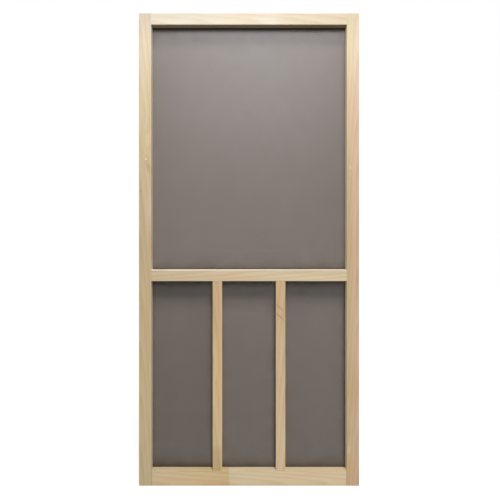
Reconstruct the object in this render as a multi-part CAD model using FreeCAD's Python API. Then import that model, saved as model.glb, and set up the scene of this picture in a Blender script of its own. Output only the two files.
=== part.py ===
import FreeCAD, Part
import os

# Wooden screen door, a bare pine slab: two stiles, three rails and two mullions, all planed to one
# thickness and joined by blind mortises and tenons. Insect screen closes the opening above the lock
# rail and the one below it, which the mullions divide into three lights. Each screen lies on the
# back face, and its edge is folded into a groove there and held by a vinyl spline.
# +X runs from the hinge stile to the latch stile, the front faces -Y and the screens are at +Y.
# The origin is at the foot of the hinge stile's outer edge, in the middle of the thickness.

# Driving sizes, in millimetres
DOOR_WIDTH = 914.4
DOOR_HEIGHT = 1962.0
DOOR_THICKNESS = 28.575
STILE_WIDTH = 50.8
TOP_RAIL_HEIGHT = 47.0
LOCK_RAIL_HEIGHT = 47.0
BOTTOM_RAIL_HEIGHT = 63.0
LOWER_OPENING_HEIGHT = 786.5
MULLION_WIDTH = 38.5
MIDDLE_LIGHT_WIDTH = 225.0
EDGE_EASE = 1.2

# Joinery
TENON_THICKNESS = 9.5
RAIL_TENON_LENGTH = 32.0
MULLION_TENON_LENGTH = 20.0
TENON_SHOULDER = 6.0
TENON_HAUNCH = 14.0
HAUNCH_LENGTH = 8.0
GLUE_GAP = 0.15
MORTISE_END_GAP = 2.0

# Screen, its spline and the groove that takes both
SCREEN_THICKNESS = 0.35
SPLINE_DIAMETER = 4.0
SPLINE_RIBS = 12
SPLINE_RIB_DEPTH = 0.25
GROOVE_DEPTH = 6.4
GROOVE_TO_OPENING = 9.5
GROOVE_FIT = 0.05

# Faces and places that follow from them
FRONT = -DOOR_THICKNESS / 2
BACK = DOOR_THICKNESS / 2
LATCH_SHOULDER = DOOR_WIDTH - STILE_WIDTH
LOCK_RAIL_BOTTOM = BOTTOM_RAIL_HEIGHT + LOWER_OPENING_HEIGHT
LOCK_RAIL_TOP = LOCK_RAIL_BOTTOM + LOCK_RAIL_HEIGHT
TOP_RAIL_BOTTOM = DOOR_HEIGHT - TOP_RAIL_HEIGHT
LEFT_MULLION_EDGE = (DOOR_WIDTH - MIDDLE_LIGHT_WIDTH) / 2 - MULLION_WIDTH
RIGHT_MULLION_EDGE = (DOOR_WIDTH + MIDDLE_LIGHT_WIDTH) / 2
GROOVE_WIDTH = SPLINE_DIAMETER + 2 * (SCREEN_THICKNESS + 2 * GROOVE_FIT)
GROOVE_BOTTOM = BACK - GROOVE_DEPTH
UPPER_OPENING = (LOCK_RAIL_TOP, TOP_RAIL_BOTTOM)
LOWER_OPENING = (BOTTOM_RAIL_HEIGHT, LOCK_RAIL_BOTTOM)

ALONG_X = FreeCAD.Vector(1, 0, 0)
ALONG_Z = FreeCAD.Vector(0, 0, 1)


def block(x_span, y_span, z_span):
    """A box between two values on each axis."""
    low = FreeCAD.Vector(x_span[0], y_span[0], z_span[0])
    return Part.makeBox(x_span[1] - x_span[0], y_span[1] - y_span[0], z_span[1] - z_span[0], low)


def planed_bar(x_span, z_span, grain):
    """A bar of the door's full thickness, its four long edges sanded round."""
    bar = block(x_span, (FRONT, BACK), z_span)
    long_edges = [edge for edge in bar.Edges if abs(edge.tangentAt(0).dot(grain)) > 0.5]
    return bar.makeFillet(EDGE_EASE, long_edges)


def grown(span, by):
    """The same span with a clearance added at both ends."""
    return (span[0] - by, span[1] + by)


def tenon_and_mortise(x_span, z_span, tip):
    """A tenon, and the mortise that takes it with glue gaps and room past the tenon's tip."""
    half = TENON_THICKNESS / 2
    tenon = block(x_span, (-half, half), z_span)
    reach = FreeCAD.Vector(tip).multiply(MORTISE_END_GAP)
    cheek = (-half - GLUE_GAP, half + GLUE_GAP)
    if abs(tip.x) > 0:
        mortise = block(x_span, cheek, grown(z_span, GLUE_GAP))
    else:
        mortise = block(grown(x_span, GLUE_GAP), cheek, z_span)
    deeper = mortise.copy()
    deeper.translate(reach)
    return tenon, mortise.fuse(deeper)


def rail(bottom, top, haunch_below=False, haunch_above=False):
    """A rail with a tenon at each end, haunched where the stile ends beside it."""
    solid = planed_bar((STILE_WIDTH, LATCH_SHOULDER), (bottom, top), ALONG_X)
    low = bottom + (TENON_HAUNCH if haunch_below else TENON_SHOULDER)
    high = top - (TENON_HAUNCH if haunch_above else TENON_SHOULDER)
    ends = ((STILE_WIDTH, -1), (LATCH_SHOULDER, 1))
    mortises = []
    for shoulder, side in ends:
        tip = FreeCAD.Vector(side, 0, 0)
        pieces = [((low, high), RAIL_TENON_LENGTH)]
        if haunch_below:
            pieces.append(((bottom + TENON_SHOULDER, low), HAUNCH_LENGTH))
        if haunch_above:
            pieces.append(((high, top - TENON_SHOULDER), HAUNCH_LENGTH))
        for z_span, length in pieces:
            x_span = sorted((shoulder, shoulder + side * length))
            tenon, mortise = tenon_and_mortise(x_span, z_span, tip)
            solid = solid.fuse(tenon)
            mortises.append(mortise)
    return solid.removeSplitter(), mortises


def mullion(edge):
    """An upright of the lower opening, tenoned into the bottom rail and the lock rail."""
    x_span = (edge, edge + MULLION_WIDTH)
    bottom, top = LOWER_OPENING
    solid = planed_bar(x_span, LOWER_OPENING, ALONG_Z)
    tenon_x = grown(x_span, -TENON_SHOULDER)
    foot, foot_mortise = tenon_and_mortise(tenon_x, (bottom - MULLION_TENON_LENGTH, bottom), -ALONG_Z)
    head, head_mortise = tenon_and_mortise(tenon_x, (top, top + MULLION_TENON_LENGTH), ALONG_Z)
    return solid.fuse([foot, head]).removeSplitter(), [foot_mortise, head_mortise]


def ring(opening, inner, outer, y_span):
    """A square-cornered ring round an opening, between two distances outside its edge."""
    across = (STILE_WIDTH, LATCH_SHOULDER)
    around = block(grown(across, outer), y_span, grown(opening, outer))
    return around.cut(block(grown(across, inner), y_span, grown(opening, inner)))


def screen_groove(opening):
    """The groove that is sawn into the back face round an opening."""
    half = GROOVE_WIDTH / 2
    return ring(opening, GROOVE_TO_OPENING - half, GROOVE_TO_OPENING + half, (GROOVE_BOTTOM, BACK))


def screen(opening):
    """A sheet on the back face whose edge is folded down, across and up again in the groove."""
    half = GROOVE_WIDTH / 2 - GROOVE_FIT
    inner = GROOVE_TO_OPENING - half
    outer = GROOVE_TO_OPENING + half
    floor = GROOVE_BOTTOM + GROOVE_FIT
    face = BACK + SCREEN_THICKNESS
    fold = ring(opening, inner, outer, (floor, BACK))
    trough = ring(opening, inner + SCREEN_THICKNESS, outer - SCREEN_THICKNESS,
                  (floor + SCREEN_THICKNESS, face))
    across = grown((STILE_WIDTH, LATCH_SHOULDER), inner + SCREEN_THICKNESS)
    sheet = block(across, (BACK, face), grown(opening, inner + SCREEN_THICKNESS))
    return sheet.fuse(fold.cut(trough)).removeSplitter()


def spline_section():
    """The spline's outline in the XY plane: a round with shallow ribs, one of them towards -Y."""
    crest = SPLINE_DIAMETER / 2
    valley = crest - SPLINE_RIB_DEPTH
    half_pitch = 180 / SPLINE_RIBS

    def at(radius, degrees):
        turn = FreeCAD.Rotation(ALONG_Z, degrees)
        return turn.multVec(FreeCAD.Vector(0, -radius, 0))

    arcs = []
    for rib in range(SPLINE_RIBS):
        top = 2 * half_pitch * rib
        arc = Part.Arc(at(valley, top - half_pitch), at(crest, top), at(valley, top + half_pitch))
        arcs.append(arc.toShape())
    return Part.Face(Part.Wire(arcs))


def spline_run(start, end):
    """A straight run of spline between two points."""
    way = end - start
    run = spline_section().extrude(ALONG_Z * way.Length)
    run.Placement = FreeCAD.Placement(start, FreeCAD.Rotation(ALONG_Z, way))
    return run


def splines(opening):
    """The four runs in one groove: uprights from end to end, and cross runs between them."""
    depth = GROOVE_BOTTOM + GROOVE_FIT + SCREEN_THICKNESS + SPLINE_DIAMETER / 2
    left, right = grown((STILE_WIDTH, LATCH_SHOULDER), GROOVE_TO_OPENING)
    bottom, top = grown(opening, GROOVE_TO_OPENING)
    reach = SPLINE_DIAMETER / 2
    butt = reach + GROOVE_FIT
    runs = {}
    for side, x in (("left", left), ("right", right)):
        runs[side] = spline_run(FreeCAD.Vector(x, depth, bottom - reach),
                                FreeCAD.Vector(x, depth, top + reach))
    for side, z in (("bottom", bottom), ("top", top)):
        runs[side] = spline_run(FreeCAD.Vector(left + butt, depth, z),
                                FreeCAD.Vector(right - butt, depth, z))
    return runs


def build():
    """Every piece of the door by name."""
    bottom_rail, bottom_mortises = rail(0, BOTTOM_RAIL_HEIGHT, haunch_below=True)
    lock_rail, lock_mortises = rail(LOCK_RAIL_BOTTOM, LOCK_RAIL_TOP)
    top_rail, top_mortises = rail(TOP_RAIL_BOTTOM, DOOR_HEIGHT, haunch_above=True)
    left_mullion, left_mortises = mullion(LEFT_MULLION_EDGE)
    right_mullion, right_mortises = mullion(RIGHT_MULLION_EDGE)
    hinge_stile = planed_bar((0, STILE_WIDTH), (0, DOOR_HEIGHT), ALONG_Z)
    latch_stile = planed_bar((LATCH_SHOULDER, DOOR_WIDTH), (0, DOOR_HEIGHT), ALONG_Z)

    stile_cuts = bottom_mortises + lock_mortises + top_mortises
    rail_cuts = left_mortises + right_mortises
    grooves = [screen_groove(UPPER_OPENING), screen_groove(LOWER_OPENING)]
    pieces = {
        "hinge_stile": hinge_stile.cut(stile_cuts + grooves),
        "latch_stile": latch_stile.cut(stile_cuts + grooves),
        "top_rail": top_rail.cut(grooves),
        "lock_rail": lock_rail.cut(rail_cuts + grooves),
        "bottom_rail": bottom_rail.cut(rail_cuts + grooves),
        "left_mullion": left_mullion,
        "right_mullion": right_mullion,
    }
    for name, opening in (("upper", UPPER_OPENING), ("lower", LOWER_OPENING)):
        pieces[name + "_screen"] = screen(opening)
        for side, run in splines(opening).items():
            pieces[name + "_spline_" + side] = run
    return pieces


os.makedirs("parts", exist_ok=True)
for name, shape in build().items():
    solid = shape.Solids[0]
    solid.exportStep(os.path.join("parts", name + ".step"))
    print(name, "solids", len(shape.Solids), "valid", shape.isValid(), "volume", round(shape.Volume))
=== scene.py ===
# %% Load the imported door
import math

import bpy
import bmesh
from mathutils import Euler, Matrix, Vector


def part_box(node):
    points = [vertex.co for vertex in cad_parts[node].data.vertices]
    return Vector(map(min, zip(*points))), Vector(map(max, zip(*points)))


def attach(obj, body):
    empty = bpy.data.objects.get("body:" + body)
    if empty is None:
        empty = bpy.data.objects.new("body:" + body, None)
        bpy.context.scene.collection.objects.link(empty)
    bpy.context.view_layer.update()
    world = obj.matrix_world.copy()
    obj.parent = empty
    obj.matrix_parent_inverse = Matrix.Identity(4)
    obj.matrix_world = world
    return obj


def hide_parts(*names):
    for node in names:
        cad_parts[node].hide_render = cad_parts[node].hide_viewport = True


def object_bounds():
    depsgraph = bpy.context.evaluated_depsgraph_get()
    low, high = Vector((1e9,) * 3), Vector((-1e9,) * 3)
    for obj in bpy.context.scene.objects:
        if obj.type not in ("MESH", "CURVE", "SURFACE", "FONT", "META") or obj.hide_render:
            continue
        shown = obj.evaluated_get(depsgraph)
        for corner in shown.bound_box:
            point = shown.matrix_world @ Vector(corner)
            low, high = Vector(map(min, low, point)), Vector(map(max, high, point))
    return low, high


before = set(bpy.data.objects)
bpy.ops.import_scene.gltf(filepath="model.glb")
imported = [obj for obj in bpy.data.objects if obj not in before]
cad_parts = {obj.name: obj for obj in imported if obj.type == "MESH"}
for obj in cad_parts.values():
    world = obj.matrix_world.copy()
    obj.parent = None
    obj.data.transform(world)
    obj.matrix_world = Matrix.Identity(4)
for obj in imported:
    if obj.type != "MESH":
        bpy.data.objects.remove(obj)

cad_low, cad_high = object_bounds()
MM = 0.001
print("nodes", len(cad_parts), "door", [round(x, 4) for x in cad_high - cad_low])

# %% [markdown]
# A screen door is a light frame of planed pine with insect screen across its openings. The packed
# model already holds every bar, screen and spline at its real place, so this lesson only finishes
# surfaces and weaves the screens. The sizes that the later cells need are read from the nodes'
# boxes, which keeps the dressing true to the joinery if a size changes there.

# %% Read the sizes of the frame
stile_low, stile_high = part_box("hinge_stile")
top_rail_low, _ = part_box("top_rail")
lock_rail_low, lock_rail_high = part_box("lock_rail")
_, bottom_rail_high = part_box("bottom_rail")
door_width = cad_high.x
door_height = cad_high.z
front_y = stile_low.y
back_y = stile_high.y
stile_width = stile_high.x
print("stile", round(stile_width / MM, 1), "thickness", round((back_y - front_y) / MM, 2))

# %% [markdown]
# Three helpers serve every material. Colours are written as they are read off a screen, in sRGB hex,
# and the shader wants linear light, so one function converts them. Another adds a node, sets it up
# and links it in one call, which keeps a long node tree readable from top to bottom. The third starts
# a material with an empty tree, so that every node in it is one that a later cell put there.


# %% Colour and node helpers
def linear(hex_colour):
    """An sRGB hex colour as the linear RGBA that shaders expect."""
    channels = [int(hex_colour[i:i + 2], 16) / 255 for i in (1, 3, 5)]
    light = [c / 12.92 if c <= 0.04045 else ((c + 0.055) / 1.055) ** 2.4 for c in channels]
    return (*light, 1.0)


def add(tree, kind, inputs=None, stops=(), **settings):
    """Adds a node. An input is a value or another node's output, and stops fill a colour ramp."""
    node = tree.nodes.new(kind)
    for position, _ in stops[1:-1]:
        node.color_ramp.elements.new(position)
    for (position, colour), element in zip(stops, node.color_ramp.elements if stops else ()):
        element.position = position
        element.color = linear(colour)
    for name, value in settings.items():
        setattr(node, name, value)
    for key, value in (inputs or {}).items():
        if isinstance(value, bpy.types.NodeSocket):
            tree.links.new(value, node.inputs[key])
        else:
            node.inputs[key].default_value = value
    return node


def bare_material(name):
    """A new material and its empty node tree."""
    material = bpy.data.materials.new(name)
    material.use_nodes = True
    material.node_tree.nodes.clear()
    return material, material.node_tree


print("amber as linear light", [round(c, 3) for c in linear("#ffbf00")])

# %% [markdown]
# The photograph looks squarely at the door from close by: uprights stay parallel, yet the underside
# of the top rail and the upper faces of the lower rails show. A level camera gives the parallel
# uprights, and a lens shift lowers the frame without tilting it. The distance follows from how far
# the back edges of the openings move in towards the vanishing point.

# %% Camera
PHOTO_PX = 500
DOOR_TOP_PX = 13.3
DOOR_FOOT_PX = 485.8
DOOR_LEFT_PX = 138.9
VANISHING_PX = (248.5, 240.0)
CAMERA_DISTANCE = 1.67
SENSOR_MM = 36.0

scene = bpy.context.scene
metre_per_px = door_height / (DOOR_FOOT_PX - DOOR_TOP_PX)
frame_width = PHOTO_PX * metre_per_px
camera_data = bpy.data.cameras.new("photo_camera")
camera_data.sensor_width = SENSOR_MM
camera_data.lens = SENSOR_MM * CAMERA_DISTANCE / frame_width
camera_data.shift_x = 0.5 - VANISHING_PX[0] / PHOTO_PX
camera_data.shift_y = VANISHING_PX[1] / PHOTO_PX - 0.5
camera = bpy.data.objects.new("photo_camera", camera_data)
camera.location = (
    (VANISHING_PX[0] - DOOR_LEFT_PX) * metre_per_px,
    front_y - CAMERA_DISTANCE,
    (DOOR_FOOT_PX - VANISHING_PX[1]) * metre_per_px,
)
camera.rotation_euler = (math.radians(90), 0, 0)
scene.collection.objects.link(camera)
scene.camera = camera
print("lens", round(camera_data.lens, 1), "shift", round(camera_data.shift_y, 3))

# %% [markdown]
# The light is a plain studio. One soft strip overhead, a little in front of the door, whitens the top
# rail, and a panel above and behind the camera, slightly to the right, lays a cool sheen on the upper
# screen. A high skylight from the front, a little to the right, draws the shadows under the rails and
# brightens the upper face of the lock rail. Two low skylights at the sides reach the inner sides of
# the bars, and one at the rear serves the back.

# %% Lamps
# Sizes and places are in metres. Aside is measured to the right from the middle of the door, and
# in_front from its front face. The tilt is in degrees.
SOFT_LAMPS = {
    "overhead_strip": dict(
        width=2.6, depth=0.2, watts=13.0, tint="#f4f9ff",
        aside=0.0, in_front=0.56, height=door_height + 0.34, tilt=0.0),
    "front_panel": dict(
        width=1.4, depth=0.9, watts=43.0, tint="#eef4ff",
        aside=0.1, in_front=2.4, height=2.87, tilt=52.0),
}
# Angles are in degrees, and the azimuth runs from the front towards the right.
SKYLIGHTS = {
    "front_skylight": dict(azimuth=20.0, elevation=68.0, width=10.0, strength=2.52),
    "left_skylight": dict(azimuth=-78.0, elevation=6.0, width=20.0, strength=1.4),
    "right_skylight": dict(azimuth=78.0, elevation=6.0, width=20.0, strength=1.1),
    "rear_skylight": dict(azimuth=160.0, elevation=25.0, width=30.0, strength=2.2),
}

scene.view_settings.view_transform = "Standard"
for name, soft in SOFT_LAMPS.items():
    lamp_data = bpy.data.lights.new(name, "AREA")
    lamp_data.shape = "RECTANGLE"
    lamp_data.size = soft["width"]
    lamp_data.size_y = soft["depth"]
    lamp_data.energy = soft["watts"]
    lamp_data.color = linear(soft["tint"])[:3]
    lamp = bpy.data.objects.new(name, lamp_data)
    lamp.location = (door_width / 2 + soft["aside"], front_y - soft["in_front"], soft["height"])
    lamp.rotation_euler = (math.radians(soft["tilt"]), 0, 0)
    scene.collection.objects.link(lamp)

for name, sky in SKYLIGHTS.items():
    sky_data = bpy.data.lights.new(name, "SUN")
    sky_data.energy = sky["strength"]
    sky_data.angle = math.radians(sky["width"])
    skylight = bpy.data.objects.new(name, sky_data)
    skylight.rotation_euler = (math.radians(90 - sky["elevation"]), 0, math.radians(sky["azimuth"]))
    scene.collection.objects.link(skylight)

# %% [markdown]
# The surround shows as white, yet it lights the door only softly: the Light Path node tells rays that
# are seen, straight, mirrored or through glass, from the light that falls on things. The floor adds
# white for seen rays in the same way, so it looks as pale as the surround and still takes the door's
# shadow. Its paper is greyer than it looks, so that it throws little light back on the door.

# %% Surround and floor
FILL_STRENGTH = 0.14
FLOOR_HALF = 15.0
FLOOR_LIFT = 0.84
FLOOR_CORNERS = ((-1, -1), (1, -1), (1, 1), (-1, 1))
PAPER_GREY = "#6a6a6a"


def seen_rays(tree):
    """One for a ray that is seen, straight, mirrored or through glass, and nought for any other."""
    ray = add(tree, "ShaderNodeLightPath")
    seen = ray.outputs["Is Camera Ray"]
    for kind in ("Is Glossy Ray", "Is Transmission Ray"):
        seen = add(tree, "ShaderNodeMath", {0: seen, 1: ray.outputs[kind]}, operation="MAXIMUM").outputs[0]
    return seen


world = bpy.data.worlds.new("pale_surround")
world.use_nodes = True
scene.world = world
tree = world.node_tree
tree.nodes.clear()
strength = add(tree, "ShaderNodeMapRange", {
    "Value": seen_rays(tree), "To Min": FILL_STRENGTH, "To Max": 1.0})
surround = add(tree, "ShaderNodeBackground", {
    "Color": linear("#ffffff"), "Strength": strength.outputs[0]})
add(tree, "ShaderNodeOutputWorld", {"Surface": surround.outputs[0]})

floor_mesh = bpy.data.meshes.new("studio_floor")
floor_corners = [(x * FLOOR_HALF, y * FLOOR_HALF, cad_low.z) for x, y in FLOOR_CORNERS]
floor_mesh.from_pydata(floor_corners, [], [(0, 1, 2, 3)])
floor = bpy.data.objects.new("studio_floor", floor_mesh)
scene.collection.objects.link(floor)
paper, tree = bare_material("matt_white_paper")
lift = add(tree, "ShaderNodeMath", {0: seen_rays(tree), 1: FLOOR_LIFT}, operation="MULTIPLY")
matt = add(tree, "ShaderNodeBsdfDiffuse", {"Color": linear(PAPER_GREY)})
glow = add(tree, "ShaderNodeEmission", {"Color": linear("#ffffff"), "Strength": lift.outputs[0]})
both = add(tree, "ShaderNodeAddShader", {0: matt.outputs[0], 1: glow.outputs[0]})
add(tree, "ShaderNodeOutputMaterial", {"Surface": both.outputs[0]})
floor_mesh.materials.append(paper)
print("floor", 2 * FLOOR_HALF, "m square, fill", FILL_STRENGTH)

# %% [markdown]
# Pine is read by its growth rings. Each bar is sawn from a trunk whose centre lies somewhere beside
# the bar, so the rings are circles about that centre, and the faces show them as streaks along the
# grain. Making the rings in space, instead of painting streaks on a face, lets front, edges and end
# grain agree with each other, as they do on real timber. Every board starts with a frame of its own,
# and a slow noise bends that frame, because grain is never quite straight.

# %% A board's own frame
WANDER_MM = 9.0
CLOUD_MM = 40.0
CLOUD_LENGTH_MM = 420.0
SEED_STEPS = (1.0, 1.7, 0.6)
NOISE_MIDDLE = (0.5, 0.5, 0.5)


def board_frame(tree, centre, turn, seed):
    """Places on a board, straight and bent, and the slow noise that bends them.

    The board's middle is the origin, and the grain runs along Z."""
    place = add(tree, "ShaderNodeTexCoord")
    board = add(tree, "ShaderNodeMapping", {
        "Vector": place.outputs["Object"], "Location": -(turn.to_matrix() @ centre), "Rotation": turn})
    drift = add(tree, "ShaderNodeMapping", {
        "Vector": board.outputs[0], "Location": [step * seed for step in SEED_STEPS],
        "Scale": (1 / (CLOUD_MM * MM), 1 / (CLOUD_MM * MM), 1 / (CLOUD_LENGTH_MM * MM))})
    cloud = add(tree, "ShaderNodeTexNoise", {"Vector": drift.outputs[0], "Scale": 1.0, "Detail": 3.0})
    wander = add(tree, "ShaderNodeVectorMath", {0: cloud.outputs["Color"], 1: NOISE_MIDDLE},
                 operation="SUBTRACT")
    bent = add(tree, "ShaderNodeVectorMath", {
        0: wander.outputs[0], 1: (WANDER_MM * MM,) * 3, 2: board.outputs[0]}, operation="MULTIPLY_ADD")
    return board.outputs[0], bent.outputs[0], cloud.outputs[0]


print("grain wanders by", WANDER_MM / 2, "mm either way, over some", CLOUD_LENGTH_MM, "mm")

# %% [markdown]
# A knot is the foot of a branch. It is darker than the wood around it, and the rings bend round it.
# Streaks, stains and bruises are like it without the bend, so one kind of mark serves them all: a soft
# ellipse on the face. The rings themselves are the distance from the trunk's centre, cut into even
# steps, and the trunk leans a little against the board, so the steps run out along its length.

# %% Marks and growth rings
RING_MM = 8.0
RING_LEAN_MM = 220.0
LATEWOOD = ((0.0, "#ffffff"), (0.45, "#fdfbf8"), (0.85, "#f6efe6"), (1.0, "#ffffff"))


def soft_marks(tree, bent, centre, turn, marks):
    """A soft mask, tint and strength for each mark, and how many rings the marks push aside."""
    masks = []
    aside = 0.0
    for x, z, half_across, half_along, degrees, rings_aside, colour, strength in marks:
        spot = turn.to_matrix() @ (Vector((x * MM, centre.y, z * MM)) - centre)
        local = add(tree, "ShaderNodeMapping", {
            "Vector": bent, "Location": spot, "Rotation": (0, math.radians(degrees), 0),
            "Scale": (half_across * MM, 1.0, half_along * MM)}, vector_type="TEXTURE")
        reach = add(tree, "ShaderNodeVectorMath", {0: local.outputs[0]}, operation="LENGTH")
        mask = add(tree, "ShaderNodeMapRange", {
            "Value": reach.outputs["Value"], "To Min": 1.0, "To Max": 0.0},
            interpolation_type="SMOOTHSTEP")
        aside = add(tree, "ShaderNodeMath", {0: mask.outputs[0], 1: rings_aside, 2: aside},
                    operation="MULTIPLY_ADD").outputs[0]
        masks.append((mask.outputs[0], colour, strength))
    return masks, aside


def growth_rings(tree, board_z, bent, pith_mm, aside):
    """The tone from early to late wood, ring by ring."""
    flat = add(tree, "ShaderNodeVectorMath", {0: bent, 1: (1, 1, 0)}, operation="MULTIPLY")
    radius = add(tree, "ShaderNodeVectorMath", {
        0: flat.outputs[0], 1: (pith_mm[0] * MM, pith_mm[1] * MM, 0)}, operation="DISTANCE")
    rings = add(tree, "ShaderNodeMath", {0: radius.outputs["Value"], 1: 1 / (RING_MM * MM), 2: aside},
                operation="MULTIPLY_ADD")
    rings = add(tree, "ShaderNodeMath", {0: board_z, 1: 1 / (RING_LEAN_MM * MM), 2: rings.outputs[0]},
                operation="MULTIPLY_ADD")
    ring = add(tree, "ShaderNodeMath", {0: rings.outputs[0]}, operation="FRACT")
    return add(tree, "ShaderNodeValToRGB", {0: ring.outputs[0]}, stops=LATEWOOD).outputs[0]


print("ring spacing", RING_MM, "mm")

# %% [markdown]
# Sapwood and heartwood lie in bands across a board, its tone changes along it, fine fibres streak it,
# and the wood blushes warmer and cooler in patches. A painted picture could hold all that, but tones
# that multiply can each be tuned alone. Marks are mixed in on top, and sawn end grain comes last: it
# drinks in the light between its open pores, so it is darker than the faces.

# %% Colour of the wood
# A real fibre is some 0.04 mm across. It is drawn at 1 mm, so that it still shows as a fine streak.
FIBRE_MM = 1.0
FIBRE_LENGTH_MM = 70.0
FIBRE_SHADE = (0.95, 1.05)
BLUSH = ((0.3, "#fff4e9"), (0.5, "#fffdfa"), (0.7, "#f3f5ee"))
END_GRAIN = "#cdb594"
END_GRAIN_FACING = (0.8, 0.95)


def wood_colour(tree, layers, masks, turn):
    """All tones of a board multiplied, with its marks, and darker where the grain is cut across."""
    wood = layers[0]
    for layer in layers[1:]:
        wood = add(tree, "ShaderNodeMix", {"Factor": 1.0, "A": wood, "B": layer},
                   data_type="RGBA", blend_type="MULTIPLY").outputs["Result"]
    for mask, colour, strength in masks:
        share = add(tree, "ShaderNodeMath", {0: mask, 1: strength}, operation="MULTIPLY")
        wood = add(tree, "ShaderNodeMix", {"Factor": share.outputs[0], "A": wood, "B": linear(colour)},
                   data_type="RGBA").outputs["Result"]
    surface = add(tree, "ShaderNodeNewGeometry")
    grain_way = turn.to_matrix().inverted() @ Vector((0, 0, 1))
    facing = add(tree, "ShaderNodeVectorMath", {0: surface.outputs["Normal"], 1: grain_way},
                 operation="DOT_PRODUCT")
    facing = add(tree, "ShaderNodeMath", {0: facing.outputs["Value"]}, operation="ABSOLUTE")
    sawn = add(tree, "ShaderNodeMapRange", {
        "Value": facing.outputs[0], "From Min": END_GRAIN_FACING[0], "From Max": END_GRAIN_FACING[1]})
    return add(tree, "ShaderNodeMix", {"Factor": sawn.outputs[0], "A": wood, "B": linear(END_GRAIN)},
               data_type="RGBA", blend_type="MULTIPLY").outputs["Result"]


print("fibre drawn at", FIBRE_MM, "mm")

# %% [markdown]
# The finish is planed and bare: no varnish, only a low sheen that the fibres break up. One function
# puts the parts together for any bar. It could be one material for the whole door, but then the grain
# would run through from bar to bar, and a joiner's eye looks for it to turn at every joint.

# %% Planed pine
PLANED_ROUGHNESS = (0.42, 0.54)
FIBRE_RELIEF = 0.3
FIBRE_RELIEF_MM = 0.1
PINE_IOR = 1.5


def planed_pine(node_name, grain, across, along, pith_mm, marks, seed):
    """Bare planed pine: pale bands and faint rings along the grain, with a low sheen."""
    low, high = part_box(node_name)
    centre = (low + high) / 2
    upright = grain == "Z"
    width = high.x - low.x if upright else high.z - low.z
    length = high.z - low.z if upright else high.x - low.x
    turn = Euler((0, 0 if upright else math.radians(-90), 0))
    material, tree = bare_material("planed_pine_" + node_name)
    board, bent, cloud = board_frame(tree, centre, turn, seed)
    board_z = add(tree, "ShaderNodeSeparateXYZ", {0: board}).outputs["Z"]
    bent_x = add(tree, "ShaderNodeSeparateXYZ", {0: bent}).outputs["X"]
    masks, aside = soft_marks(tree, bent, centre, turn, marks)
    latewood = growth_rings(tree, board_z, bent, pith_mm, aside)

    # Both ramps run from nought to one over the board. A rail's bands are counted from its foot.
    side = add(tree, "ShaderNodeMath", {0: bent_x, 1: (1 if upright else -1) / width, 2: 0.5},
               operation="MULTIPLY_ADD")
    run = add(tree, "ShaderNodeMath", {0: board_z, 1: 1 / length, 2: 0.5}, operation="MULTIPLY_ADD")
    bands = add(tree, "ShaderNodeValToRGB", {0: side.outputs[0]}, stops=across)
    tones = add(tree, "ShaderNodeValToRGB", {0: run.outputs[0]}, stops=along)
    thread = add(tree, "ShaderNodeMapping", {
        "Vector": bent,
        "Scale": (1 / (FIBRE_MM * MM), 1 / (FIBRE_MM * MM), 1 / (FIBRE_LENGTH_MM * MM))})
    fibre = add(tree, "ShaderNodeTexNoise", {"Vector": thread.outputs[0], "Scale": 1.0, "Detail": 2.0})
    shade = add(tree, "ShaderNodeMapRange", {
        "Value": fibre.outputs[0], "To Min": FIBRE_SHADE[0], "To Max": FIBRE_SHADE[1]})
    blush = add(tree, "ShaderNodeValToRGB", {0: cloud}, stops=BLUSH)
    layers = (bands.outputs[0], tones.outputs[0], latewood, blush.outputs[0], shade.outputs[0])
    wood = wood_colour(tree, layers, masks, turn)

    rough = add(tree, "ShaderNodeMapRange", {
        "Value": fibre.outputs[0], "To Min": PLANED_ROUGHNESS[0], "To Max": PLANED_ROUGHNESS[1]})
    relief = add(tree, "ShaderNodeBump", {
        "Height": fibre.outputs[0], "Strength": FIBRE_RELIEF, "Distance": FIBRE_RELIEF_MM * MM})
    skin = add(tree, "ShaderNodeBsdfPrincipled", {
        "Base Color": wood, "Roughness": rough.outputs[0], "Normal": relief.outputs[0], "IOR": PINE_IOR})
    add(tree, "ShaderNodeOutputMaterial", {"Surface": skin.outputs[0]})
    return material


def dress(bars):
    """Gives each bar its own pine."""
    for node_name, timber in bars.items():
        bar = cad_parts[node_name]
        bar.data.materials.clear()
        bar.data.materials.append(planed_pine(node_name, **timber))
    print("pine bars", len(bars), "marks", sum(len(timber["marks"]) for timber in bars.values()))


print("sheen of planed pine: roughness", *PLANED_ROUGHNESS)

# %% [markdown]
# Every bar is its own piece of timber, so each gets its own bands, tones and marks. Bands run across
# the bar from left to right, or from bottom to top on a rail, and tones from its foot or left end.
# A mark is its place on the door's face, its half width and half length in millimetres, its turn,
# how many rings it pushes aside, and its tint and strength. The stiles are the longest bars, each
# glued from two lengths, and they have the most knots.

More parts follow.
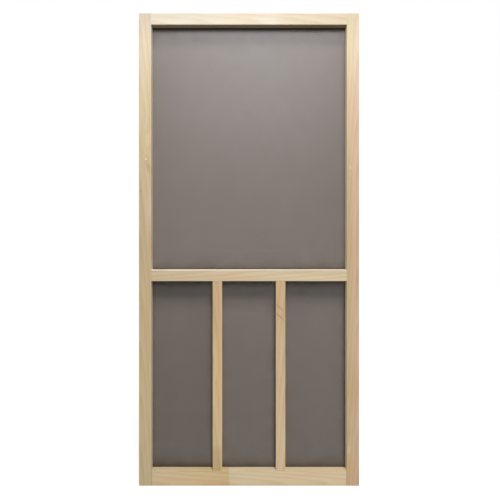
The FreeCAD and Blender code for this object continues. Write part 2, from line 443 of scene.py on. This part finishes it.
# %% The two stiles
# The stops along both stiles mix the wood's own tone and glue lines with painted light: the pale, cool
# stops near the top are a painted highlight, and the wood is made darker where the lamps fall strongest
# and paler where they fall weakest.
dress({
    # The glued lengths of this stile meet with a slight change of tone, under a quarter of the way up.
    "hinge_stile": dict(
        grain="Z", seed=1.0, pith_mm=(-32, 62),
        across=((0.0, "#c3ad92"), (0.3, "#c9b397"), (0.65, "#c8b59b"), (1.0, "#c4b5a2")),
        along=((0.0, "#fdfeed"), (0.2275, "#fcfcec"), (0.2285, "#fafced"), (0.5, "#eee9db"),
               (0.82, "#f0f3e6"), (0.94, "#f3fdff"), (0.985, "#e6ecf1")),
        marks=(
            (28, 1425, 26, 130, 0, 1.6, "#c9ad82", 0.25),
            (31, 1354, 13, 32, 8, 1.8, "#a8854f", 0.50),
            (30, 1357, 6, 10, 0, 0.0, "#e4d2ab", 0.75),
            (36, 1349, 3, 6, 0, 0.0, "#94743f", 0.65),
            (39, 1322, 13, 36, -8, 0.0, "#988450", 0.65),
            (8, 1225, 6, 7, 0, 0.8, "#7f6c4b", 0.70),
            (42, 1150, 15, 150, 0, 0.0, "#c9b9a5", 0.45),
            (12, 1610, 12, 110, 0, 0.0, "#d2ab8b", 0.30),
        )),
    # The darker stop low down is the glue line between this stile's two lengths.
    "latch_stile": dict(
        grain="Z", seed=2.0, pith_mm=(36, 58),
        across=((0.0, "#c8b597"), (0.3, "#cdb993"), (0.6, "#cdb69e"), (0.85, "#d1b59a"),
                (1.0, "#c9b298")),
        along=((0.0, "#fdf3e8"), (0.0602, "#fdf4e8"), (0.0612, "#dcc8ab"), (0.0622, "#fdf9f1"),
               (0.33, "#f9f8ef"), (0.5, "#e8e3da"), (0.82, "#edebea"), (0.94, "#f2f6f1"),
               (0.985, "#e7ece3")),
        marks=(
            (896, 880, 13, 860, 0, 0.0, "#d0a985", 0.55),
            (882, 1318, 12, 34, -6, 1.6, "#b99c70", 0.35),
            (880, 1322, 4, 9, 0, 0.0, "#e0cfaa", 0.70),
            (872, 1262, 6, 40, 14, 0.9, "#a8936a", 0.35),
            (889, 410, 30, 190, 0, 0.0, "#ab8d62", 0.30),
            (868, 376, 3, 46, 8, 0.6, "#a08c64", 0.45),
            (876, 222, 3, 36, 6, 0.5, "#a08c64", 0.40),
            (872, 150, 8, 26, 0, 0.0, "#e0d0b0", 0.45),
        )),
})

# %% [markdown]
# The three rails are short and nearly clear of knots, with the grain lying flat. Their upper edges
# differ: a painted highlight makes the lock rail's upper edge paler, and painted shade makes the bottom
# rail's upper face darker.

# %% The three rails
dress({
    # The top rail's pale, cool tone is partly its own and partly a painted highlight, the whitish sheen at
    # the top of the door.
    "top_rail": dict(
        grain="X", seed=3.0, pith_mm=(24, 70),
        across=((0.0, "#c2b7a2"), (0.5, "#c1b6a2"), (1.0, "#c0b4a0")),
        along=((0.0, "#fffdfa"), (0.2, "#ffffff"), (0.45, "#fbf7f1"), (0.62, "#fefcf9"),
               (0.66, "#f9f2e7"), (0.85, "#f3ebdd")),
        marks=()),
    "lock_rail": dict(
        grain="X", seed=4.0, pith_mm=(-36, 52),
        # Painted highlight: the pale last stop across this rail lights its upper edge.
        across=((0.0, "#d6c1a0"), (0.5, "#d8c3a2"), (0.94, "#d7c0a4"), (0.97, "#f0e3cf")),
        along=((0.0, "#e5ebec"), (0.35, "#eef3f2"), (1.0, "#ffffff")),
        marks=((140, 870, 2.5, 3.5, 0, 0.3, "#7a6747", 0.70),)),
    # The dark stops at both ends are the joint lines, drawn coarser than real so that they show.
    "bottom_rail": dict(
        grain="X", seed=5.0, pith_mm=(30, 60),
        # Painted shade: the dark last stop across this rail darkens its upper face, where the lamps fall
        # too strongly.
        across=((0.0, "#ddc4a5"), (0.2, "#e2cfac"), (0.6, "#e3d3b4"), (0.955, "#e2d3b2"),
                (0.985, "#b9a98c")),
        along=((0.0375, "#a08b72"), (0.0395, "#efeae1"), (0.2, "#f0eade"), (0.402, "#f0e3cc"),
               (0.409, "#f8f7f6"), (0.9605, "#fdf9f3"), (0.9625, "#a89378")),
        marks=((250, 60, 3.0, 150, 0, 0.0, "#a5885c", 0.55),)),
})

# %% [markdown]
# The two mullions divide the lower opening. They are warmer than the stiles, and the right one has two
# slanting dark streaks just under the lock rail.

# %% The two mullions
dress({
    # Painted highlight: the pale last stop across this mullion lights its right edge.
    "left_mullion": dict(
        grain="Z", seed=6.0, pith_mm=(-26, 62),
        across=((0.0, "#d5bf92"), (0.45, "#d4bd95"), (0.75, "#d6bb93"), (0.92, "#dcc8a4")),
        along=((0.0, "#eae4d7"), (0.12, "#eee9e4"), (0.16, "#fbfbfb"), (0.45, "#fbfbfb"),
               (0.7, "#f0ebe4"), (0.9, "#ebe2de")),
        marks=((318, 520, 5, 200, 0, 0.5, "#dfc79c", 0.35),)),
    "right_mullion": dict(
        grain="Z", seed=7.0, pith_mm=(28, 60),
        across=((0.0, "#dac299"), (0.45, "#dcc1a2"), (1.0, "#dbc29b")),
        along=((0.0, "#fbffff"), (0.2, "#fbfdfd"), (0.45, "#f8f1f3"), (0.72, "#edeae7"),
               (0.8, "#e7e2d9")),
        marks=(
            (585, 739, 3.2, 36, -48, 0.0, "#85673a", 0.70),
            (584, 703, 3.2, 34, -48, 0.0, "#7d5c3a", 0.80),
            (578, 115, 3, 9, 30, 0.0, "#ebdcbc", 0.50),
            (592, 560, 5, 150, 0, 0.6, "#e2cdae", 0.40),
        )),
})

# %% [markdown]
# Insect screen is a plain weave of coated glass yarn. It is cut larger than the opening, laid on the
# back face, and its edge is pushed down into a groove by a vinyl cord. Each yarn is modelled for
# itself, so light and the background really pass between the yarns. A section through the folded
# sheet is drawn once: it is the path of the yarns one way, and the row of places for the other way.

# %% Screen sizes and the folded section
SHEET_MM = 0.35
FOLD_MM = 4.8
BEND_MM = 0.25
TIP_BELOW_FACE_MM = 0.05


def folded_section(low, high, axis, layer_mm):
    """Points (along, y) through a screen's box: up, across and down in a groove at each end."""
    half = (high[axis] - low[axis]) / 2
    sheet = SHEET_MM / 2 * MM
    layer = layer_mm * MM
    outer = half - sheet + layer
    inner = half - FOLD_MM * MM + sheet - layer
    face = high.y - sheet - layer
    floor_of_fold = low.y + sheet - layer
    tip = back_y - TIP_BELOW_FACE_MM * MM
    bend = BEND_MM * MM
    right = [
        (inner - bend, face), (inner, face - bend), (inner, floor_of_fold),
        (outer, floor_of_fold), (outer, tip)]
    left = [(-along, y) for along, y in reversed(right)]
    return left + right, face, inner


def path_length(points):
    """The length along a chain of points."""
    return sum(math.dist(a, b) for a, b in zip(points, points[1:]))


upper_section, _, _ = folded_section(*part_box("upper_screen"), 0, 0.0)
print("cut width of a screen", round(path_length(upper_section) / MM, 1), "mm")

# %% [markdown]
# The weave repeats, so a Geometry Nodes tree lays it. There are over two thousand yarns, too many to
# place by hand, and a plain array doesn't follow the folded edge. The tree's sizes are named inputs,
# so that one tree serves both screens and both directions of yarn.

# %% The tree and its named inputs
laying = bpy.data.node_groups.new("lay_yarns", "GeometryNodeTree")
SOCKETS = (
    ("Section", "Geometry"), ("Yarn Path", "Object"), ("Pitch", "Float"), ("Yarn Width", "Float"),
    ("Yarn Thickness", "Float"), ("Groove Yarn", "Float"), ("Face Reach", "Float"),
    ("Groove Top", "Float"), ("Quarter Turn", "Rotation"), ("Middle", "Vector"), ("Yarn", "Material"),
)
socket_id = {}
for label, kind in SOCKETS:
    socket = laying.interface.new_socket(label, in_out="INPUT", socket_type="NodeSocket" + kind)
    socket_id[label] = socket.identifier
laying.interface.new_socket("Screen", in_out="OUTPUT", socket_type="NodeSocketGeometry")
given = add(laying, "NodeGroupInput").outputs
print("inputs of the tree", len(socket_id))

# %% [markdown]
# Two shapes of yarn are enough. One follows the whole section, with folded ends, and crosses the flat
# face. The other is straight, and lies along the groove. A round outline would cost many faces on
# yarns that are finer than a pixel, so both have a flat rectangular one.

# %% Two shapes of yarn
outline = add(laying, "GeometryNodeCurvePrimitiveQuadrilateral", {
    "Width": given["Yarn Width"], "Height": given["Yarn Thickness"]})
path_object = add(laying, "GeometryNodeObjectInfo", {"Object": given["Yarn Path"]})
path_curve = add(laying, "GeometryNodeMeshToCurve", {"Mesh": path_object.outputs["Geometry"]})
folded = add(laying, "GeometryNodeCurveToMesh", {
    "Curve": path_curve.outputs[0], "Profile Curve": outline.outputs[0], "Fill Caps": True})
half_groove = add(laying, "ShaderNodeMath", {0: given["Groove Yarn"], 1: 0.5}, operation="MULTIPLY")
end = add(laying, "ShaderNodeCombineXYZ", {"Z": half_groove.outputs[0]})
start = add(laying, "ShaderNodeVectorMath", {0: end.outputs[0], "Scale": -1.0}, operation="SCALE")
line = add(laying, "GeometryNodeCurvePrimitiveLine", {"Start": start.outputs[0], "End": end.outputs[0]})
straight = add(laying, "GeometryNodeCurveToMesh", {
    "Curve": line.outputs[0], "Profile Curve": outline.outputs[0], "Fill Caps": True})
print("nodes so far", len(laying.nodes))

# %% [markdown]
# Points are set at even steps along the section. A yarn with folded ends goes on each point of the
# flat face, and a straight one on each point inside the groove, turned to lie on the groove's wall.
# The same tree lays both directions: the second is turned a quarter about the sheet's normal.

# %% Lay one layer of yarn
row = add(laying, "GeometryNodeMeshToCurve", {"Mesh": given["Section"]})
places = add(laying, "GeometryNodeCurveToPoints", {"Curve": row.outputs[0], "Length": given["Pitch"]},
             mode="LENGTH")
lie = add(laying, "FunctionNodeAlignRotationToVector", {"Vector": places.outputs["Tangent"]},
          axis="X", pivot_axis="Z")
where = add(laying, "GeometryNodeInputPosition")
spot = add(laying, "ShaderNodeSeparateXYZ", {0: where.outputs[0]})
from_middle = add(laying, "ShaderNodeMath", {0: spot.outputs["X"]}, operation="ABSOLUTE")
on_face = add(laying, "FunctionNodeCompare", {0: from_middle.outputs[0], 1: given["Face Reach"]},
              operation="LESS_THAN")
in_groove = add(laying, "FunctionNodeCompare", {0: spot.outputs["Y"], 1: given["Groove Top"]},
                operation="LESS_THAN")
face_yarns = add(laying, "GeometryNodeInstanceOnPoints", {
    "Points": places.outputs[0], "Selection": on_face.outputs[0], "Instance": folded.outputs[0],
    "Rotation": lie.outputs[0]})
groove_yarns = add(laying, "GeometryNodeInstanceOnPoints", {
    "Points": places.outputs[0], "Selection": in_groove.outputs[0], "Instance": straight.outputs[0],
    "Rotation": lie.outputs[0]})
joined = add(laying, "GeometryNodeJoinGeometry", {0: face_yarns.outputs[0]})
laying.links.new(groove_yarns.outputs[0], joined.inputs[0])
placed = add(laying, "GeometryNodeTransform", {
    "Geometry": joined.outputs[0], "Rotation": given["Quarter Turn"], "Translation": given["Middle"]})
real = add(laying, "GeometryNodeRealizeInstances", {0: placed.outputs[0]})
coated = add(laying, "GeometryNodeSetMaterial", {"Geometry": real.outputs[0], "Material": given["Yarn"]})
add(laying, "NodeGroupOutput", {0: coated.outputs[0]})
print("tree nodes", len(laying.nodes))

# %% [markdown]
# The yarn is glass fibre in a dark vinyl coat, heat-set where the yarns cross. The coat is matt, so it
# gives a broad grey sheen towards the lamps instead of a mirror image. Over and under, in a plain
# weave, follows a chequer of the two yarn pitches: bump shows that swell along each flat yarn, and
# painted shade darkens the places where a yarn dives under.

# %% Coated yarn
WARP_PITCH_MM = 1.41
WEFT_PITCH_MM = 1.59
SWELL_MM = 0.06
UNDER_SHADE = 0.72
DUST_MM = 60.0
DUSTY_COAT = ((0.3, "#7c7168"), (0.7, "#7f756d"))

glass_yarn, tree = bare_material("vinyl_coated_glass_yarn")
place = add(tree, "ShaderNodeTexCoord").outputs["Object"]
dust = add(tree, "ShaderNodeTexNoise", {"Vector": place, "Scale": 1 / (DUST_MM * MM), "Detail": 4.0})
tone = add(tree, "ShaderNodeValToRGB", {0: dust.outputs[0]}, stops=DUSTY_COAT)
half_waves = (math.pi / (WARP_PITCH_MM * MM), 0, math.pi / (WEFT_PITCH_MM * MM))
crossing = add(tree, "ShaderNodeVectorMath", {0: place, 1: half_waves}, operation="MULTIPLY")
swing = add(tree, "ShaderNodeVectorMath", {0: crossing.outputs[0]}, operation="SINE")
swing_at = add(tree, "ShaderNodeSeparateXYZ", {0: swing.outputs[0]})
chequer = add(tree, "ShaderNodeMath", {0: swing_at.outputs["X"], 1: swing_at.outputs["Z"]},
              operation="MULTIPLY")
swell = add(tree, "ShaderNodeBump", {"Height": chequer.outputs[0], "Distance": SWELL_MM * MM})
# Painted shade: the tone is darker where a yarn dives under the other.
dip = add(tree, "ShaderNodeMapRange", {
    "Value": chequer.outputs[0], "From Min": -1.0, "To Min": UNDER_SHADE, "To Max": 1.0})
coat_tone = add(tree, "ShaderNodeMix", {"Factor": 1.0, "A": tone.outputs[0], "B": dip.outputs[0]},
                 data_type="RGBA", blend_type="MULTIPLY")
print("yarn pitches", WARP_PITCH_MM, "by", WEFT_PITCH_MM, "mm")

# %% [markdown]
# Painted shade darkens the screen in brown where it meets the bars, most along the rails. It could be
# painted by hand, but the depth of a point inside its pane follows the bars by itself, and the painted
# shade fades out with that depth. The tall stiles of the upper pane get none, so that pane is counted
# out to the door's edges. Below, the painted shade is stronger on the right of each pane, where the bar
# shades it from light that comes from the right, so a pane's left side is set back behind its bar.

# %% Painted shade along the bars
# Painted shade along the bars: the coat is darkened near each bar and fades inwards.
EDGE_SHADE_MM = 9.0
EDGE_SHADE_UNEVEN = (0.4, 1.6)
LEDGE_SPREAD = 2.2
LEFT_SIDE_SETBACK_MM = 12.0
FAR_OUTSIDE = -1.0

mullion_sides = [corner.x for name in ("left_mullion", "right_mullion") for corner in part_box(name)]
pane_sides = [stile_width, *mullion_sides, door_width - stile_width]
panes = {"upper": (0.0, door_width, lock_rail_high.z, top_rail_low.z)}
for pane, left, right in zip(("hinge", "middle", "latch"), pane_sides[::2], pane_sides[1::2]):
    panes[pane] = (left - LEFT_SIDE_SETBACK_MM * MM, right, bottom_rail_high.z, lock_rail_low.z)

# How deep a point lies inside a pane: nought along the pane's edges, and less than that outside.
inside = {}
depth = FAR_OUTSIDE
for pane, (left, right, foot, head) in panes.items():
    middle = ((left + right) / 2, 0, (foot + head) / 2)
    half = ((right - left) / 2, 0, (head - foot) / 2 / LEDGE_SPREAD)
    offset = add(tree, "ShaderNodeVectorMath", {0: place, 1: middle}, operation="SUBTRACT")
    offset = add(tree, "ShaderNodeVectorMath", {0: offset.outputs[0]}, operation="ABSOLUTE")
    margin = add(tree, "ShaderNodeVectorMath", {
        0: offset.outputs[0], 1: (-1.0, 0, -1 / LEDGE_SPREAD), 2: half}, operation="MULTIPLY_ADD")
    margin = add(tree, "ShaderNodeSeparateXYZ", {0: margin.outputs[0]})
    inside[pane] = add(tree, "ShaderNodeMath", {0: margin.outputs["X"], 1: margin.outputs["Z"]},
                       operation="MINIMUM").outputs[0]
    depth = add(tree, "ShaderNodeMath", {0: inside[pane], 1: depth}, operation="MAXIMUM").outputs[0]

# Painted shade, darkest at a pane's edge and fading with the depth inside it.
from_edge = add(tree, "ShaderNodeMath", {0: depth}, operation="ABSOLUTE")
slope_low, slope_high = [-share / (EDGE_SHADE_MM * MM) for share in EDGE_SHADE_UNEVEN]
uneven = add(tree, "ShaderNodeMapRange", {
    "Value": dust.outputs[0], "To Min": slope_low, "To Max": slope_high})
fall = add(tree, "ShaderNodeMath", {0: from_edge.outputs[0], 1: uneven.outputs[0]}, operation="MULTIPLY")
edge_shade = add(tree, "ShaderNodeMath", {0: fall.outputs[0]}, operation="EXPONENT")
print("panes", list(panes), "grime fades over some", EDGE_SHADE_MM, "mm")

# %% [markdown]
# Two places are darker. The lower pane beside the hinge stile is a little darker all over, and painted
# shadow lies in a broad band under the lock rail, where the rail shades the screen. All the darkening
# is one share that mixes a single brown over the coat.

# %% Darker hinge pane, painted shadow under the lock rail, and the finished coat
HINGE_PANE_DARKENING = 0.13
RAIL_SHADOW_MM = 70.0
RAIL_SHADOW_FADE_MM = 80.0
RAIL_SHADOW_SHARE = 0.26
EDGE_SHADE_SHARE = 0.8
DARKENING_BROWN = "#2a1f15"
COAT_ROUGHNESS = (0.36, 0.42)
COAT_SPECULAR = 0.35

# The lower pane beside the hinge stile is made a little darker all over.
broad_darkening = add(tree, "ShaderNodeMath", {0: inside["hinge"], 1: 0.0}, operation="GREATER_THAN")
broad_darkening = add(tree, "ShaderNodeMath", {0: broad_darkening.outputs[0], 1: HINGE_PANE_DARKENING}, operation="MULTIPLY")
# Painted shadow: a broad band under the lock rail, fading downwards.
height = add(tree, "ShaderNodeSeparateXYZ", {0: place}).outputs["Z"]
below = add(tree, "ShaderNodeMath", {0: height, 1: lock_rail_low.z}, operation="LESS_THAN")
rail_shadow_foot = lock_rail_low.z - (RAIL_SHADOW_MM + RAIL_SHADOW_FADE_MM) * MM
rail_shadow = add(tree, "ShaderNodeMapRange", {
    "Value": height, "From Min": rail_shadow_foot, "From Max": lock_rail_low.z - RAIL_SHADOW_MM * MM,
    "To Max": RAIL_SHADOW_SHARE}, interpolation_type="SMOOTHSTEP")
broad_darkening = add(tree, "ShaderNodeMath", {0: below.outputs[0], 1: rail_shadow.outputs[0], 2: broad_darkening.outputs[0]},
           operation="MULTIPLY_ADD")
# Painted shade along the bars, painted shadow under the lock rail and the darker hinge pane all mix one
# brown over the coat.
darkening = add(tree, "ShaderNodeMath", {0: edge_shade.outputs[0], 1: EDGE_SHADE_SHARE, 2: broad_darkening.outputs[0]},
            operation="MULTIPLY_ADD")
tone = add(tree, "ShaderNodeMix", {
    "Factor": darkening.outputs[0], "A": coat_tone.outputs["Result"], "B": linear(DARKENING_BROWN)},
    data_type="RGBA")
rough = add(tree, "ShaderNodeMapRange", {
    "Value": dust.outputs[0], "To Min": COAT_ROUGHNESS[0], "To Max": COAT_ROUGHNESS[1]})
coat = add(tree, "ShaderNodeBsdfPrincipled", {
    "Base Color": tone.outputs["Result"], "Roughness": rough.outputs[0], "Normal": swell.outputs[0],
    "Specular IOR Level": COAT_SPECULAR})
add(tree, "ShaderNodeOutputMaterial", {"Surface": coat.outputs[0]})
print("nodes of the coat", len(tree.nodes))

# %% [markdown]
# To run the tree, an object is made whose mesh is only the chain of edges of a section, and a second
# one whose chain is the yarn's own path. The modifier's inputs are set by the sockets' identifiers, the
# result is copied to a plain mesh, and the two helpers are removed again.

# %% One layer of yarns
YARN_THICK_MM = 0.10
GUIDE_MM = 0.02


def polyline(name, points):
    """An object whose mesh is only a chain of edges."""
    mesh = bpy.data.meshes.new(name)
    mesh.from_pydata(points, [(i, i + 1) for i in range(len(points) - 1)], [])
    chain = bpy.data.objects.new(name, mesh)
    scene.collection.objects.link(chain)
    return chain


def with_guides(points):
    """The same chain with a point beside each corner, which keeps directions true along it."""
    guided = [points[0]]
    for a, b in zip(points, points[1:]):
        way = (Vector(b) - Vector(a)).normalized() * GUIDE_MM * MM
        guided += [tuple(Vector(a) + way), tuple(Vector(b) - way), b]
    return guided


def yarn_layer(name, low, high, axis, pitch_mm, cover, layer_mm):
    """One direction of yarns of a screen, as a plain mesh."""
    other = 2 - axis
    section, face, edge = folded_section(low, high, axis, layer_mm)
    path, _, reach = folded_section(low, high, other, layer_mm)
    half_yarn = pitch_mm * cover * MM / 2
    section_row = polyline(name + "_section", [(along, y, 0) for along, y in with_guides(section)])
    yarn_path = polyline(name + "_path", [(0, y - face, along) for along, y in path])
    lay = section_row.modifiers.new("lay_yarns", "NODES")
    lay.node_group = laying
    middle = (low + high) / 2
    values = {
        "Yarn Path": yarn_path,
        "Pitch": pitch_mm * MM,
        "Yarn Width": 2 * half_yarn,
        "Yarn Thickness": YARN_THICK_MM * MM,
        "Groove Yarn": 2 * reach,
        "Face Reach": edge - half_yarn,
        "Groove Top": back_y - half_yarn,
        "Quarter Turn": (0.0, 0.0 if axis == 0 else math.radians(90), 0.0),
        "Middle": (middle.x, 0.0, middle.z),
        "Yarn": glass_yarn,
    }
    for label, value in values.items():
        lay[socket_id[label]] = value
    graph = bpy.context.evaluated_depsgraph_get()
    mesh = bpy.data.meshes.new_from_object(section_row.evaluated_get(graph))
    bpy.data.objects.remove(section_row)
    bpy.data.objects.remove(yarn_path)
    return mesh


print("a yarn is", YARN_THICK_MM, "mm thick")

# %% [markdown]
# A screen is two layers of the same tree, one for each direction, joined into one mesh. The yarns
# cover more of their pitch than real ones do, so that the sheet reads as an even, nearly opaque grey.

# %% Weave the two screens
WARP_COVER = 0.47
WEFT_COVER = 0.98
LAYER_MM = 0.0875

for node_name, holders in (
    ("upper_screen", ["hinge_stile", "latch_stile", "top_rail", "lock_rail"]),
    ("lower_screen", ["hinge_stile", "latch_stile", "lock_rail", "bottom_rail"]),
):
    low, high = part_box(node_name)
    both = bmesh.new()
    both.from_mesh(yarn_layer(node_name + "_warp", low, high, 0, WARP_PITCH_MM, WARP_COVER, LAYER_MM))
    both.from_mesh(yarn_layer(node_name + "_weft", low, high, 2, WEFT_PITCH_MM, WEFT_COVER, -LAYER_MM))
    woven_mesh = bpy.data.meshes.new(node_name + "_woven")
    both.to_mesh(woven_mesh)
    both.free()
    woven_mesh.materials.append(glass_yarn)
    woven_mesh.shade_flat()
    woven = bpy.data.objects.new(node_name + "_woven", woven_mesh)
    scene.collection.objects.link(woven)
    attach(woven, "root")
    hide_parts(node_name)

# %% [markdown]
# A cord of ribbed vinyl keeps each screen in its groove. It is squeezed in with a roller and holds by
# its ribs, which the model already has as shape. What is left to the material is the dull bloom of
# extruded vinyl: near black, a little greyer in patches, with a fine skin that scatters highlights.

# %% Vinyl spline
BLOOM_MM = 9.0
SKIN_MM = 0.8
SKIN_RELIEF = 0.4
SKIN_RELIEF_MM = 0.05
BLOOM = ((0.3, "#28282a"), (0.7, "#3a393a"))
VINYL_ROUGHNESS = (0.42, 0.58)
VINYL_IOR = 1.53

vinyl, tree = bare_material("extruded_black_vinyl")
place = add(tree, "ShaderNodeTexCoord").outputs["Object"]
bloom = add(tree, "ShaderNodeTexNoise", {"Vector": place, "Scale": 1 / (BLOOM_MM * MM), "Detail": 3.0})
tone = add(tree, "ShaderNodeValToRGB", {0: bloom.outputs[0]}, stops=BLOOM)
grit = add(tree, "ShaderNodeTexNoise", {"Vector": place, "Scale": 1 / (SKIN_MM * MM)})
skin = add(tree, "ShaderNodeBump", {
    "Height": grit.outputs[0], "Strength": SKIN_RELIEF, "Distance": SKIN_RELIEF_MM * MM})
rough = add(tree, "ShaderNodeMapRange", {
    "Value": bloom.outputs[0], "To Min": VINYL_ROUGHNESS[0], "To Max": VINYL_ROUGHNESS[1]})
gloss = add(tree, "ShaderNodeBsdfPrincipled", {
    "Base Color": tone.outputs[0], "Roughness": rough.outputs[0], "Normal": skin.outputs[0],
    "IOR": VINYL_IOR})
add(tree, "ShaderNodeOutputMaterial", {"Surface": gloss.outputs[0]})
spline_runs = [node for name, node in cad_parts.items() if "_spline_" in name]
for spline_run in spline_runs:
    spline_run.data.materials.clear()
    spline_run.data.materials.append(vinyl)
print("spline runs", len(spline_runs))
